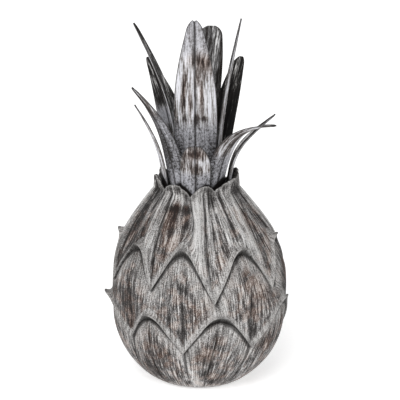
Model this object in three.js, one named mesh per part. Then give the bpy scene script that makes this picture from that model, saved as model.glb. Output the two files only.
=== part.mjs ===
// Pineapple ornament: a moulded body of overlapping petals with a crown of thin creased leaves.
// Millimetres, +Z up. The origin is the centre of the flat underside, and the front faces -Y.
// Azimuths are degrees from the front, growing towards +X.
import * as THREE from "three";

// Body
const bodyRadius = 109.2;
const bellyHeight = 110;
const baseRadius = 54;
const bellyFullness = 2.5;
const neckRadius = 51;
const neckHeight = 244;
const shoulderFullness = 1.2;
const neckShift = -2.8;
const petalsPerRow = 8;
const columnsPerPetal = 12;

// Rims of the two upper rows of petals, and the curled petal tips that ring the neck. Their marks go
// round the body in half petals: azimuths in degrees, heights as shares of the neck's height, and the
// outward hooks of the arches as shares of a full hook.
const upperRim = {
  sharpMark: 0,
  azimuths: [-32, -11.5, 9.5, 33.5, 54, 80, 104, 124, 144, 165, 187, 209, 233, 262, 286, 311],
  heights: [
    0.57, 0.734, 0.516, 0.725, 0.541, 0.73, 0.541, 0.721,
    0.533, 0.717, 0.557, 0.73, 0.533, 0.725, 0.549, 0.73,
  ],
  hooks: [1.05, 1, 1.05, 1, 1.1, 0.95, 1.05, 1.05],
};
const lowerRim = {
  sharpMark: 1,
  azimuths: [-34, -10.5, 13, 37, 73, 95, 114, 133, 152, 170, 190, 210, 232, 255, 273, 310],
  heights: [
    0.406, 0.258, 0.414, 0.262, 0.422, 0.27, 0.406, 0.246,
    0.414, 0.262, 0.402, 0.25, 0.41, 0.27, 0.414, 0.295,
  ],
  hooks: [0.85, 0.85, 0.5, 0.7, 0.8, 0.7, 0.8, 0.95],
};
const collar = {
  sharpMark: 1,
  azimuths: [-32, -9.5, 12, 27, 60, 84, 108, 130, 152, 174, 197, 220, 244, 260, 278, 302],
  heights: [
    1.049, 0.992, 1.049, 1.016, 1.066, 1.012, 1.082, 1.008,
    1.066, 1.012, 1.074, 1.004, 1.082, 1.016, 1.07, 1.008,
  ],
};

// Where the petals of the lowest row meet the underside
const footAzimuths = [-38, -8, 4, 28, 60, 88, 112, 136, 160, 182, 204, 226, 246, 266, 286, 304];

// Relief of the petals
const padRelief = 3;
const padAtRim = -0.3;
const creaseDepth = 3;
const creaseWidth = 0.09;
const creaseStart = 0.2;
const creaseEnd = 0.95;
const ridgeRise = 1.2;
const hollowDepth = 4;
const ridgeFullAt = 0.3;
const ridgeFadesAt = 0.75;
const reliefFadeHeight = 22;
const rimEdge = 2.8;
const archEdge = 0.8;
const rimRound = 1.2;
const rimRootHeight = 4;
const hookReach = 8.5;
const hookRise = 11;
const hookRootRise = 5.5;
const hookSharpness = 14;
const hookRiseSharpness = 4;
const recessDepth = 1.5;
const recessHeight = 1.5;
const lowestRows = 6;
const middleRows = 5;
const highestRows = 8;

// Collar and the seat of the leaves inside it
const collarWall = 3;
const collarCurl = 2.5;
const seatDepth = 10;
const seatRadius = neckRadius - padRelief - collarWall;
const seatHeight = neckHeight - seatDepth;
const seatClearance = 0.3;

// Crown
const crownHeight = 218;
const leafThickness = 1.5;
const leafToCollarGap = 3.5;
const whorlSpacing = 7;
const leafFold = 0.1;
const leafCup = 0.18;
const veinDepth = 1;
const tipRoundLength = 0.045;
const tipRoundness = 0.85;
const leafStations = 12;
const stationCrowding = 0.35;
const acrossLeaf = [-1, -0.5, -0.09, 0, 0.09, 0.5, 1];

const tallWhorl = 2;
const middleWhorl = 1;
const shortWhorl = 0;

// Each leaf: its azimuth, how far its tip reaches out and rises from its foot, how far foot and tip lean
// out from upright (degrees), how much of it runs straight at each end, the sideways sway of its tip,
// where it is widest and how late it tapers. Reach, rise and sway are shares of the crown's height, and
// widths are shares of the seat's radius.
const leaves = [
  {
    name: "tall_leaf_front", whorl: tallWhorl, azimuth: -3.5,
    reach: 0.023, rise: 1, footLean: 3, tipLean: 2, straight: 0.4, sway: -0.005,
    footWidth: 0.76, width: 1.18, tipWidth: 0.31, widestAt: 0.38, taper: 1.4,
  },
  {
    name: "tall_leaf_right", whorl: tallWhorl, azimuth: 90,
    reach: 0.128, rise: 0.991, footLean: 2, tipLean: 11, straight: 0.4, sway: 0,
    footWidth: 0.62, width: 0.76, tipWidth: 0.2, widestAt: 0.3, taper: 1.2,
  },
  {
    name: "tall_leaf_back", whorl: tallWhorl, azimuth: 172,
    reach: 0.023, rise: 0.936, footLean: 2, tipLean: 4, straight: 0.4, sway: -0.064,
    footWidth: 0.62, width: 0.93, tipWidth: 0.58, widestAt: 0.45, taper: 2.1,
  },
  {
    name: "tall_leaf_left", whorl: tallWhorl, azimuth: -100,
    reach: 0.239, rise: 0.959, footLean: -4, tipLean: 27, straight: 0.4, sway: 0,
    footWidth: 0.62, width: 0.71, tipWidth: 0.2, widestAt: 0.3, taper: 1.2,
  },
  {
    name: "middle_leaf_front_right", whorl: middleWhorl, azimuth: 45,
    reach: 0.44, rise: 0.472, footLean: 6, tipLean: 82, straight: 0.45, sway: 0,
    footWidth: 0.62, width: 0.8, tipWidth: 0.2, widestAt: 0.33, taper: 1,
  },
  {
    name: "middle_leaf_back_right", whorl: middleWhorl, azimuth: 135,
    reach: 0.211, rise: 0.743, footLean: 13, tipLean: 23, straight: 0.4, sway: 0,
    footWidth: 0.62, width: 0.82, tipWidth: 0.31, widestAt: 0.5, taper: 1.5,
  },
  {
    name: "middle_leaf_back_left", whorl: middleWhorl, azimuth: -135,
    reach: 0.252, rise: 0.734, footLean: 9, tipLean: 33, straight: 0.4, sway: 0,
    footWidth: 0.62, width: 0.96, tipWidth: 0.18, widestAt: 0.42, taper: 1.1,
  },
  {
    name: "middle_leaf_front_left", whorl: middleWhorl, azimuth: -45,
    reach: 0.337, rise: 0.665, footLean: 10, tipLean: 46, straight: 0.42, sway: 0,
    footWidth: 0.64, width: 0.73, tipWidth: 0.13, widestAt: 0.2, taper: 0.8,
  },
  {
    name: "short_leaf_front", whorl: shortWhorl, azimuth: -2,
    reach: 0.202, rise: 0.353, footLean: 8, tipLean: 44, straight: 0.4, sway: 0,
    footWidth: 0.67, width: 0.82, tipWidth: 0.31, widestAt: 0.4, taper: 1.5,
  },
  {
    name: "short_leaf_right", whorl: shortWhorl, azimuth: 91,
    reach: 0.257, rise: 0.454, footLean: 4, tipLean: 49, straight: 0.48, sway: 0,
    footWidth: 0.62, width: 0.64, tipWidth: 0.13, widestAt: 0.3, taper: 1.1,
  },
  {
    name: "short_leaf_back", whorl: shortWhorl, azimuth: 178,
    reach: 0.202, rise: 0.394, footLean: 6, tipLean: 42, straight: 0.4, sway: 0,
    footWidth: 0.62, width: 0.71, tipWidth: 0.18, widestAt: 0.35, taper: 1.1,
  },
  {
    name: "short_leaf_left", whorl: shortWhorl, azimuth: -82,
    reach: 0.168, rise: 0.518, footLean: 5, tipLean: 32, straight: 0.4, sway: 0,
    footWidth: 0.62, width: 0.69, tipWidth: 0.13, widestAt: 0.3, taper: 1.1,
  },
];

const quarterTurn = Math.PI / 2;

const bodyMaterial = new THREE.MeshStandardMaterial({ color: 0x8b8680, roughness: 0.85, metalness: 0 });
const leafColour = { color: 0x99958f, roughness: 0.7, metalness: 0.1 };

// A direction from the axis, level, at an azimuth
function outward(azimuth) {
  const angle = THREE.MathUtils.degToRad(azimuth);
  return new THREE.Vector3(Math.sin(angle), -Math.cos(angle), 0);
}

// A closed body from a stack of rings with the same number of points. At each end, strips join the points
// that face each other across the ring.
function closedStack(rings) {
  const count = rings[0].length;
  const top = (rings.length - 1) * count;
  const faces = [];
  for (let i = 0; i < count; i += 1) {
    const next = (i + 1) % count;
    for (let below = 0; below < top; below += count) {
      const above = below + count;
      faces.push(below + i, below + next, above + next);
      faces.push(below + i, above + next, above + i);
    }
  }
  for (let i = 0; i < count / 2 - 1; i += 1) {
    const next = i + 1;
    const facing = count - 1 - i;
    const facingNext = facing - 1;
    faces.push(next, i, facing);
    faces.push(next, facing, facingNext);
    faces.push(top + i, top + next, top + facingNext);
    faces.push(top + i, top + facingNext, top + facing);
  }
  const geometry = new THREE.BufferGeometry().setFromPoints(rings.flat());
  geometry.setIndex(faces);
  geometry.computeVertexNormals();
  return geometry;
}

// Height of a zigzag edge at a place round the body: sharp at one kind of mark and rounded at the other
function zigzag(edge, place) {
  const marks = edge.heights.length;
  const half = Math.floor(place * 2);
  const along = place * 2 - half;
  const here = edge.heights[half % marks];
  const next = edge.heights[(half + 1) % marks];
  const startsSharp = half % 2 === edge.sharpMark;
  const fromSharp = startsSharp ? along : 1 - along;
  const sharp = startsSharp ? here : next;
  const round = startsSharp ? next : here;
  const rise = Math.sin(fromSharp * quarterTurn);
  return { height: (sharp + (round - sharp) * rise) * neckHeight, rise };
}

// Azimuth of a place round the body, where the marks of an edge are not evenly spaced
function azimuthAt(azimuths, place) {
  const marks = azimuths.length;
  const half = Math.floor(place * 2);
  const along = place * 2 - half;
  const here = azimuths[half % marks];
  const next = azimuths[(half + 1) % marks] + (half + 1 >= marks ? 360 : 0);
  return here + (next - here) * along;
}

// Plain outline of the body without petals: an ellipse cut off by the underside, then a shoulder
function outlineRadius(height) {
  if (height < bellyHeight) {
    const below = (bellyHeight - height) / bellyHeight;
    const cut = 1 - (baseRadius / bodyRadius) ** 2;
    return bodyRadius * Math.sqrt(1 - cut * below ** bellyFullness);
  }
  const above = Math.min(1, (height - bellyHeight) / (neckHeight - bellyHeight));
  return neckRadius + (bodyRadius - neckRadius) * Math.cos(quarterTurn * above ** shoulderFullness);
}

// The neck stands a little to one side of the belly
function leanAt(height) {
  return neckShift * THREE.MathUtils.smoothstep(height, bellyHeight, neckHeight);
}

// Radius on a petal. Its top bulges as a pad, and its centre sinks into a crease towards its point.
// The offset runs from -0.5 to 0.5 across the petal, and along from 0 at its rim to 1 at its top.
function petalRadius(height, offset, along) {
  const pad = padRelief * Math.cos(2 * Math.PI * offset) * THREE.MathUtils.lerp(padAtRim, 1, along);
  const across = Math.exp(-((offset / creaseWidth) ** 2));
  const run = THREE.MathUtils.lerp(creaseStart, creaseEnd, along);
  const crease = creaseDepth * across * Math.sin(Math.PI * run);
  const fade = Math.min(1, height / reliefFadeHeight);
  return outlineRadius(height) + (pad - crease) * fade;
}

// In the top row, each petal rises to a ridge on the left of its crease and is hollow on the right
function topRowRelief(offset, along) {
  const side = offset < 0 ? ridgeRise : hollowDepth;
  const begun = THREE.MathUtils.smoothstep(along, 0, ridgeFullAt);
  const faded = THREE.MathUtils.smoothstep(along, ridgeFadesAt, 1);
  return -side * Math.sin(2 * Math.PI * offset) * begun * (1 - faded);
}

// Distance from the middle of the nearest petal, in petals
function petalOffset(place, pointMark) {
  const shifted = place - pointMark / 2;
  return shifted - Math.round(shifted);
}

// Rows of one row of petals in one column: from its lower edge up to where the next row covers it
function petalRows(place, lower, upper, pointMark, rowCount) {
  const offset = petalOffset(place, pointMark);
  const rows = [];
  for (let row = 0; row <= rowCount; row += 1) {
    const along = row / rowCount;
    const height = THREE.MathUtils.lerp(lower.height, upper.height, along);
    const azimuth = THREE.MathUtils.lerp(lower.azimuth, upper.azimuth, along);
    rows.push({ radius: petalRadius(height, offset, along), height, azimuth });
  }
  return rows;
}

// Rows of a rim that hangs over the petals below: recess, hooked edge, its rounded top and its root
function rimRows(rim, place) {
  const { height, rise } = zigzag(rim, place);
  const lift = rise ** hookRiseSharpness;
  const offset = petalOffset(place, rim.sharpMark);
  const azimuth = azimuthAt(rim.azimuths, place);
  const hookOut = rim.hooks[Math.floor(place + rim.sharpMark / 2) % petalsPerRow] * hookReach;
  const standOff = THREE.MathUtils.lerp(rimEdge, archEdge, lift) + hookOut * rise ** hookSharpness;
  const edgeHeight = height + hookRise * lift;
  const edgeRadius = petalRadius(edgeHeight, offset, 0) + standOff;
  const recess = { height: height + recessHeight, azimuth };
  const edge = { radius: edgeRadius, height: edgeHeight, azimuth };
  const top = { radius: edgeRadius - rimRound, height: edgeHeight + rimRound, azimuth };
  const rootHeight = height + rimRootHeight + hookRootRise * lift;
  const root = { height: rootHeight, azimuth };
  return { recess, edge, top, root };
}

// Heights and radii of one column of the body, from the rim of the underside to the seat of the leaves
function bodyColumn(place) {
  const foot = { height: 0, azimuth: azimuthAt(footAzimuths, place) };
  const lower = rimRows(lowerRim, place);
  const upper = rimRows(upperRim, place);
  const tip = zigzag(collar, place);
  const collarAzimuth = azimuthAt(collar.azimuths, place);
  const neck = { height: tip.height, azimuth: collarAzimuth };

  const lowest = petalRows(place, foot, lower.recess, upperRim.sharpMark, lowestRows);
  const middle = petalRows(place, lower.root, upper.recess, lowerRim.sharpMark, middleRows);
  const highest = petalRows(place, upper.root, neck, upperRim.sharpMark, highestRows);
  lowest[lowest.length - 1].radius -= recessDepth;
  middle[middle.length - 1].radius -= recessDepth;
  const offset = petalOffset(place, upperRim.sharpMark);
  highest.forEach((spot, row) => {
    spot.radius += topRowRelief(offset, row / highestRows);
  });

  const curl = collarCurl * tip.rise ** 2;
  const tipOuter = highest[highest.length - 1];
  tipOuter.radius += curl;
  const tipInner = { radius: tipOuter.radius - collarWall, height: tip.height, azimuth: collarAzimuth };
  const seat = { radius: seatRadius, height: seatHeight, azimuth: collarAzimuth };
  return [
    ...lowest, lower.edge, lower.top,
    ...middle, upper.edge, upper.top,
    ...highest, tipInner, seat,
  ];
}

function pineappleBody() {
  const columns = [];
  for (let i = 0; i < petalsPerRow * columnsPerPetal; i += 1) {
    columns.push(bodyColumn(i / columnsPerPetal));
  }
  const rings = columns[0].map((unused, row) => columns.map((column) => {
    const { radius, height, azimuth } = column[row];
    return outward(azimuth).multiplyScalar(radius).add(new THREE.Vector3(leanAt(height), 0, height));
  }));
  const mesh = new THREE.Mesh(closedStack(rings), bodyMaterial);
  mesh.name = "pineapple_body";
  return mesh;
}

// Width of a leaf along its length, with a rounded end
function leafWidth(leaf, along) {
  let width = leaf.width;
  if (along < leaf.widestAt) {
    const widened = Math.sin((along / leaf.widestAt) * quarterTurn);
    width = leaf.footWidth + (leaf.width - leaf.footWidth) * widened;
  } else {
    const past = (along - leaf.widestAt) / (1 - leaf.widestAt);
    width = leaf.tipWidth + (leaf.width - leaf.tipWidth) * Math.cos(past ** leaf.taper * quarterTurn);
  }
  const intoTip = Math.max(0, (along - 1 + tipRoundLength) / tipRoundLength);
  return width * seatRadius * Math.sqrt(1 - tipRoundness * intoTip * intoTip);
}

// Centre line of a leaf in its own upright plane: X outward from the axis, Y up
function leafLine(leaf) {
  const footRadius = seatRadius - leafToCollarGap - leafThickness - whorlSpacing * leaf.whorl;
  const foot = new THREE.Vector2(footRadius, seatHeight + seatClearance);
  const tip = new THREE.Vector2(leaf.reach, leaf.rise).multiplyScalar(crownHeight).add(foot);
  const handle = foot.distanceTo(tip) * leaf.straight;
  const lean = (degrees) => {
    const angle = THREE.MathUtils.degToRad(degrees);
    return new THREE.Vector2(Math.sin(angle), Math.cos(angle)).multiplyScalar(handle);
  };
  return new THREE.CubicBezierCurve(
    foot,
    foot.clone().add(lean(leaf.footLean)),
    tip.clone().sub(lean(leaf.tipLean)),
    tip,
  );
}

// Outer and inner face of a leaf at one station, as one ring of points
function leafRing(leaf, line, along) {
  const centre = line.getPoint(along);
  const direction = along === 0 ? new THREE.Vector2(0, 1) : line.getTangent(along);
  const out = outward(leaf.azimuth);
  const side = outward(leaf.azimuth + 90);
  const face = out.clone().multiplyScalar(direction.y);
  face.z = -direction.x;
  const middle = out.clone().multiplyScalar(centre.x).add(new THREE.Vector3(neckShift, 0, centre.y));
  middle.addScaledVector(side, leaf.sway * crownHeight * along * along);
  const halfWidth = leafWidth(leaf, along) / 2;
  const place = (across, lift) => {
    const distance = across * halfWidth;
    const cup = (leafFold + leafCup * Math.abs(across)) * Math.abs(distance);
    const vein = across === 0 ? veinDepth : 0;
    return middle.clone().addScaledVector(side, distance).addScaledVector(face, lift - cup - vein);
  };
  const outer = acrossLeaf.map((across) => place(across, leafThickness / 2));
  const inner = acrossLeaf.map((across) => place(across, -leafThickness / 2));
  return [...outer, ...inner.reverse()];
}

function crownLeaf(leaf) {
  const line = leafLine(leaf);
  const rings = [];
  for (let station = 0; station <= leafStations; station += 1) {
    const even = station / leafStations;
    const crowded = Math.sin(even * quarterTurn);
    rings.push(leafRing(leaf, line, THREE.MathUtils.lerp(even, crowded, stationCrowding)));
  }
  const mesh = new THREE.Mesh(closedStack(rings), new THREE.MeshStandardMaterial(leafColour));
  mesh.name = leaf.name;
  return mesh;
}

const group = new THREE.Group();
group.add(pineappleBody());
for (const leaf of leaves) {
  group.add(crownLeaf(leaf));
}

export default group;
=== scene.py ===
import math

import bmesh
import bpy
import numpy as np
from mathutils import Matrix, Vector, noise


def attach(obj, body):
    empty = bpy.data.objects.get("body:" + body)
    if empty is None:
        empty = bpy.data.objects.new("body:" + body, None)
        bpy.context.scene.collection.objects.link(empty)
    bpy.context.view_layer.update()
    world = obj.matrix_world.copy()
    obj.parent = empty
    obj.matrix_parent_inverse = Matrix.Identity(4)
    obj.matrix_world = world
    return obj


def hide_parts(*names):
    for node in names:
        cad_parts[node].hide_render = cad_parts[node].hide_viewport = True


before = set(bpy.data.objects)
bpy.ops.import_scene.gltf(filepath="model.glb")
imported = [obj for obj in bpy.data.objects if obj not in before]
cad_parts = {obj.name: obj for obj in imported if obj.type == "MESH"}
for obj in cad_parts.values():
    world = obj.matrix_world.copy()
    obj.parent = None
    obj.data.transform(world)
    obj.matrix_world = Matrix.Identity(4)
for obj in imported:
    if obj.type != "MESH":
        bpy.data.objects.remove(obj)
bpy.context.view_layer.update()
mm = 0.001


def paint(hexColour):  # sRGB hex to the linear colour that shaders use
    parts = [int(hexColour[i:i + 2], 16) / 255 for i in (1, 3, 5)]
    linear = [p / 12.92 if p <= 0.04045 else ((p + 0.055) / 1.055) ** 2.4 for p in parts]
    return (*linear, 1.0)


def addNode(tree, kind, inputs=None, stops=None, **settings):
    made = tree.nodes.new("ShaderNode" + kind)
    for name, value in settings.items():
        setattr(made, name, value)
    for key, value in (inputs or {}).items():
        if isinstance(value, bpy.types.Node):
            value = next(output for output in value.outputs if output.enabled)
        if isinstance(value, bpy.types.NodeSocket):
            tree.links.new(value, made.inputs[key])
        else:
            made.inputs[key].default_value = value
    for number, (place, colour) in enumerate(stops or []):
        ramp = made.color_ramp.elements
        element = ramp[number] if number < len(ramp) else ramp.new(place)
        element.position = place
        element.color = paint(colour)
    return made


def smooth(low, high, value):
    t = np.clip((value - low) / (high - low), 0, 1)
    return t * t * (3 - 2 * t)


def noiseAt(x, y, z):
    shape = np.broadcast(x, y, z).shape
    flat = [np.broadcast_to(axis, shape).ravel() for axis in (x, y, z)]
    return np.array([noise.noise(Vector(p)) for p in zip(*flat)]).reshape(shape)


# A grid bent into a closed piece: points is rows x columns x 3 in mm, facts are values for the materials
def bentGrid(name, points, facts):
    rows, columns = points.shape[:2]
    bm = bmesh.new()
    bmesh.ops.create_grid(bm, x_segments=columns - 1, y_segments=rows - 1, size=1)
    layers = {}
    for fact, values in facts.items():
        kind = bm.verts.layers.float_vector if values.ndim == 3 else bm.verts.layers.float
        layers[fact] = kind.new(fact)
    for v in bm.verts:
        column = round((v.co.x + 1) / 2 * (columns - 1))
        row = round((v.co.y + 1) / 2 * (rows - 1))
        v.co = Vector(points[row, column]) * mm
        for fact, layer in layers.items():
            value = facts[fact][row, column]
            v[layer] = Vector(value) if np.ndim(value) else float(value)
    bmesh.ops.remove_doubles(bm, verts=bm.verts, dist=0.00002)
    bmesh.ops.recalc_face_normals(bm, faces=bm.faces)
    mesh = bpy.data.meshes.new(name)
    bm.to_mesh(mesh)
    bm.free()
    mesh.shade_smooth()
    piece = bpy.data.objects.new(name, mesh)
    bpy.context.scene.collection.objects.link(piece)
    return piece


# The moulded body: lengths in mm, and heights along a petal as shares from its point to its top
body = {
    "petals": 8, "columnsPerPetal": 48, "lowerRings": 58, "topRings": 76, "footRise": 0.6,
    "bellyRadius": 109.2, "bellyHeight": 110, "baseRadius": 54, "bellyFullness": 2.5,
    "neckRadius": 51, "neckHeight": 244, "shoulderFullness": 1.2, "neckShift": -2.8,
    "seatRadius": 45, "seatHeight": 234,
    # pads swell at the petals' tops and hollow towards their points
    "padRelief": 3, "padAtRim": -0.3, "topRowPadLoss": 0.75, "reliefFade": 22,
    # a fold runs down each lower petal with a crease in it, and dark lines stay in both
    "creaseDepth": 1.8, "creaseWidth": 1.8, "foldDepth": 2.4, "foldWidth": 9, "foldShade": -0.4,
    "lineShare": 0.8, "lineRelief": 1.2, "partingWidth": 1.5, "partingFrom": (0.05, 0.6),
    "middleCrease": {"from": (0.02, 0.1), "fade": (0.25, 0.7), "loss": 0.7, "lineWidth": 1.2},
    "lowestCrease": {"from": (0, 0.2), "fade": (0.7, 1), "loss": 0.4, "lineWidth": 1.4},
    # rims stand out from the petals, and their arches hook outwards
    "rimEdge": 2.8, "archEdge": 0.8, "rimRound": 1.2, "rimRoot": 4, "flare": 1.6, "flareWidth": 9,
    "hookReach": 8.5, "hookRise": 11, "hookRoot": 5.5, "hookSharpness": 14, "hookRiseSharpness": 4,
    "shownInside": 0.3,  # the finer rims stay this far inside the solid's
    # petals slope in where the arches cover them, and painted shade lies just under each rim
    "recessDepth": 2.4, "recessHeight": 1.5, "coveredDepth": 3.2, "coveredRun": 16,
    "shadeUnderPoint": 2.4, "shadeUnderArch": 1.0, "shadeBlur": 2,
    "undersideBow": (1.25, 0.85), "undersideEnd": 0.3, "rimBlend": 4,
    # between these distances the pale band above a rim fades, and so does the smooth strip below one
    "petalBand": (4, 8), "archBand": (5, 9), "rubWidth": 1.6, "smoothUnderRim": (8, 18),
    # the top row: ridges left of the creases, dark lines, and pleats that run up to the neck
    "ridge": 3.8, "ridgeFullness": 0.7, "ridgeFade": (0.86, 1), "ridgeLoss": 0.6,
    "hollowFullness": 0.8, "hollowFade": (0.84, 0.9), "topRowFrom": (0, 0.3),
    "lineDepth": 2.0, "lineWidth": 1.5, "lineFrom": (0.04, 0.2), "lineFade": (0.88, 0.97),
    "topRowSunk": 2.6, "sunkFrom": (0.1, 0.6),
    "pleat": 1.4, "pleatWidth": 6, "pleatLength": 90, "farBelowRim": 99,
    "collarCurl": 2.5, "collarCurlRun": 6, "collarRound": 1.3,
    "collarLineBelow": 3.5, "collarLineWidth": 1.6, "collarRubWidth": 1.5,
    "grainRadius": 85,  # the petals' mean distance from the axis, so that pleats and grain keep their width
    # between these heights the neck falls into shade, and the neck and the ridges turn grey,
    # apart from stains stronger than this share
    "shadedNeck": (234, 246), "greyNeck": (205, 240), "greyRidges": (140, 170), "strongStain": 0.3,
}
# Rims and collar go round the body in half petals, from an arch to a point and on to the next arch.
# Heights are shares of the neck's height, and hooks are shares of a full hook.
upperRim = {
    "sharpMark": 0,
    "azimuths": [-32, -11.5, 9.5, 33.5, 54, 80, 104, 124, 144, 165, 187, 209, 233, 262, 286, 311],
    "heights": [0.57, 0.734, 0.516, 0.725, 0.541, 0.73, 0.541, 0.721,
                0.533, 0.717, 0.557, 0.73, 0.533, 0.725, 0.549, 0.73],
    "hooks": [1.05, 1, 1.05, 1, 1.1, 0.95, 1.05, 1.05],
}
lowerRim = {
    "sharpMark": 1,
    "azimuths": [-34, -10.5, 13, 37, 73, 95, 114, 133, 152, 170, 190, 210, 232, 255, 273, 310],
    "heights": [0.406, 0.258, 0.414, 0.262, 0.422, 0.27, 0.406, 0.246,
                0.414, 0.262, 0.402, 0.25, 0.41, 0.27, 0.414, 0.295],
    "hooks": [0.85, 0.85, 0.5, 0.7, 0.8, 0.7, 0.8, 0.95],
}
collar = {
    "sharpMark": 1,
    "azimuths": [-32, -9.5, 12, 27, 60, 84, 108, 130, 152, 174, 197, 220, 244, 260, 278, 302],
    "heights": [1.049, 0.992, 1.049, 1.016, 1.066, 1.012, 1.082, 1.008,
                1.066, 1.012, 1.074, 1.004, 1.082, 1.016, 1.07, 1.008],
}
footAzimuths = [-38, -8, 4, 28, 60, 88, 112, 136, 160, 182, 204, 226, 246, 266, 286, 304]
# How far the petals' lines bow sideways between the upper rim and the neck, at each half petal
bows = [-2, 6, -3, 1.5, -3, 0, 0, 2, -2, 0, 2, 0, -2, 1, 2, -1]
# In the top row, where each petal's ridge begins at the rim and at the neck and how far its crease
# strays at the neck, in shares of a petal, and how deep its hollow half is in mm
ridgeAtRim = [0.10, 0.16, 0.0, 0.05, 0.1, 0.04, 0.12, 0.05]
ridgeAtNeck = [0.06, 0.0, 0.12, 0.05, 0.0, 0.08, 0.0, 0.06]
creaseAtNeck = [-0.115, -0.06, 0.0, 0.05, -0.05, 0.06, -0.08, 0.0]
hollowDepths = [4.6, 3.0, 2.0, 3.0, 2.4, 4.0, 2.6, 3.4]
# Patches of the finish, some of them painted shade: azimuth, height, half width, half height, brown share,
# lighter or darker
bodyPatches = [
    # the hollow front petal with painted shade under its lip, its ridges and the shoulders
    (-24, 217, 15, 13, 1.0, -1.0), (-23, 228, 13, 4, 1.0, -3.0), (-26, 241, 14, 5, 0, 1.3),
    (-24, 195, 14, 14, 0.7, 0.7), (12, 195, 12, 30, 0, 0.7), (-2, 205, 6, 34, 0, 0.9),
    (22, 222, 10, 16, 0, 0.5), (50, 214, 14, 16, 0.7, -0.2), (-55, 190, 16, 30, 0.2, -1.4),
    (-80, 200, 16, 30, 0.2, -0.8), (32, 236, 16, 8, 0, -0.7), (-62, 240, 16, 8, 0, -0.9),
    (-10, 244, 8, 6, 0, -1.0),
    # the petals of the middle and the lowest row
    (22, 162, 13, 20, 0.8, 0), (43, 134, 24, 24, 0.8, 0), (2, 118, 18, 14, 0.5, 0.1),
    (3, 62, 14, 16, 0.7, 0.1), (52, 66, 18, 12, 0.7, -0.6), (-28, 62, 18, 22, 0.4, -0.6),
    (-7, 34, 6, 14, 0, 1.0), (-2, 14, 8, 12, 0, 1.5), (-42, 30, 14, 16, 0.3, -0.9),
    (14, 22, 14, 14, 0.3, -0.5),
    # the rims
    (-24, 93, 9, 10, 0, -1.0), (-41, 168, 10, 14, 0, -1.0), (28, 95, 9, 10, 0, 1.0),
    (14, 115, 16, 6, 0, 1.0), (-11, 75, 8, 8, 0, 0.7),
    # the flanks, painted darker as shade, and the back
    (-54, 112, 18, 34, 0.2, -1.2), (-80, 130, 18, 60, 0.2, -1.3), (82, 150, 16, 60, 0.3, -1.3),
    (75, 120, 18, 30, 0.2, -0.4), (150, 120, 22, 26, 0.7, 0), (205, 215, 16, 16, 0.8, -0.3),
    (250, 150, 20, 22, 0.5, 0.2), (110, 210, 16, 18, 0.6, -0.3), (180, 60, 24, 18, 0.5, -0.4),
    (230, 90, 20, 18, 0.5, -0.2),
]


def halfPetals(values, place, ease=lambda t: t, wrap=0):
    half = np.floor(place * 2).astype(int)
    t = ease(place * 2 - half)
    marks = np.array(list(values) + [values[0] + wrap])
    return marks[half % len(values)] * (1 - t) + marks[half % len(values) + 1] * t


def grainCircle(place):  # the way round the body, at the petals' mean distance from its axis
    around = place * 2 * math.pi / body["petals"]
    return np.cos(around) * body["grainRadius"], np.sin(around) * body["grainRadius"]


def tableOf(rows):  # rows that share their names, turned into one table for each name
    return {name: np.array([row[name] for row in rows]) for name in rows[0]}


def zigzag(edge, place):
    half = np.floor(place * 2).astype(int)
    along = place * 2 - half
    heights = np.array(edge["heights"]) * body["neckHeight"]
    here, after = heights[half % len(heights)], heights[(half + 1) % len(heights)]
    startsSharp = half % 2 == edge["sharpMark"]
    rise = np.sin(np.where(startsSharp, along, 1 - along) * math.pi / 2)
    sharp, rounded = np.where(startsSharp, here, after), np.where(startsSharp, after, here)
    return sharp + (rounded - sharp) * rise, rise


def outlineRadius(z):
    b = body
    below = np.clip((b["bellyHeight"] - z) / b["bellyHeight"], 0, 1)
    cut = 1 - (b["baseRadius"] / b["bellyRadius"]) ** 2
    above = np.clip((z - b["bellyHeight"]) / (b["neckHeight"] - b["bellyHeight"]), 0, 1)
    rounded = np.cos(math.pi / 2 * above ** b["shoulderFullness"])
    shoulder = b["neckRadius"] + (b["bellyRadius"] - b["neckRadius"]) * rounded
    belly = b["bellyRadius"] * np.sqrt(1 - cut * below ** b["bellyFullness"])
    return np.where(z < b["bellyHeight"], belly, shoulder)


def edgeTilt(heights, radius, azimuths):  # cosine of the slope of a rim, as seen from outside
    run = np.radians(np.diff(azimuths)) * (radius[1:] + radius[:-1]) / 2
    slopes = np.abs(np.diff(heights) / run)
    steepest = np.maximum(np.append(slopes, slopes[0]), np.insert(slopes, 0, slopes[-1]))
    return 1 / np.sqrt(1 + steepest ** 2)


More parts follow.
